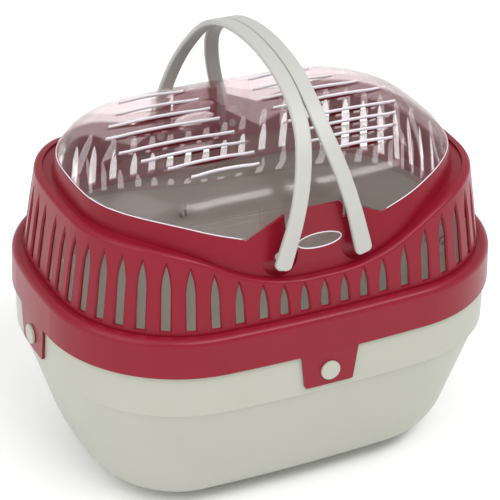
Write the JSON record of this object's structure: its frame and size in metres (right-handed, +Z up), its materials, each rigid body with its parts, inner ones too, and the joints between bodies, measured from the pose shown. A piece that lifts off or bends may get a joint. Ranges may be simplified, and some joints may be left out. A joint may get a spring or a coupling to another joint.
{
  "type": "pet carrier",
  "caption": "Small-animal carrier: tapered tub, slotted upper shell with snap tabs, clear domed lid with vents, and folding hoop handles.",
  "frame": {"origin": "centre of the tub's flat underside, on the surface that it stands on", "axes": "+X along the length to the right-hand end, -Y the front with the latch seen in the picture, +Z up"},
  "size_m": [0.4046, 0.3006, 0.3754],
  "materials": {
    "cream_plastic": "moulded polypropylene, soft gloss",
    "red_plastic": "moulded polypropylene, soft gloss",
    "clear_plastic": "clear injection-moulded polystyrene, polished",
    "white_plastic": "moulded polypropylene, soft gloss"
  },
  "bodies": {
    "carrier": {"base_tub": "cream_plastic", "grille_shell": "red_plastic", "front_snap_button": "cream_plastic", "back_snap_button": "cream_plastic", "left_snap_button": "cream_plastic", "right_snap_button": "cream_plastic"},
    "lid": {"clear_lid": "clear_plastic"},
    "handle_left": {"left_handle": "white_plastic"},
    "handle_right": {"right_handle": "white_plastic"}
  },
  "joints": [
    {"name": "left_handle_fold", "type": "hinge", "parent": "carrier", "child": "handle_left", "pos_m": [-0.0347, 0, 0.2376], "axis": [0, -1, 0], "range_deg": [0, 88]},
    {"name": "right_handle_fold", "type": "hinge", "parent": "carrier", "child": "handle_right", "pos_m": [0.0347, 0, 0.2376], "axis": [0, 1, 0], "range_deg": [0, 88]},
    {"name": "lid_tilt", "type": "hinge", "parent": "carrier", "child": "lid", "pos_m": [0, 0.115, 0.258], "axis": [-1, 0, 0], "range_deg": [0, 14]}
  ]
}
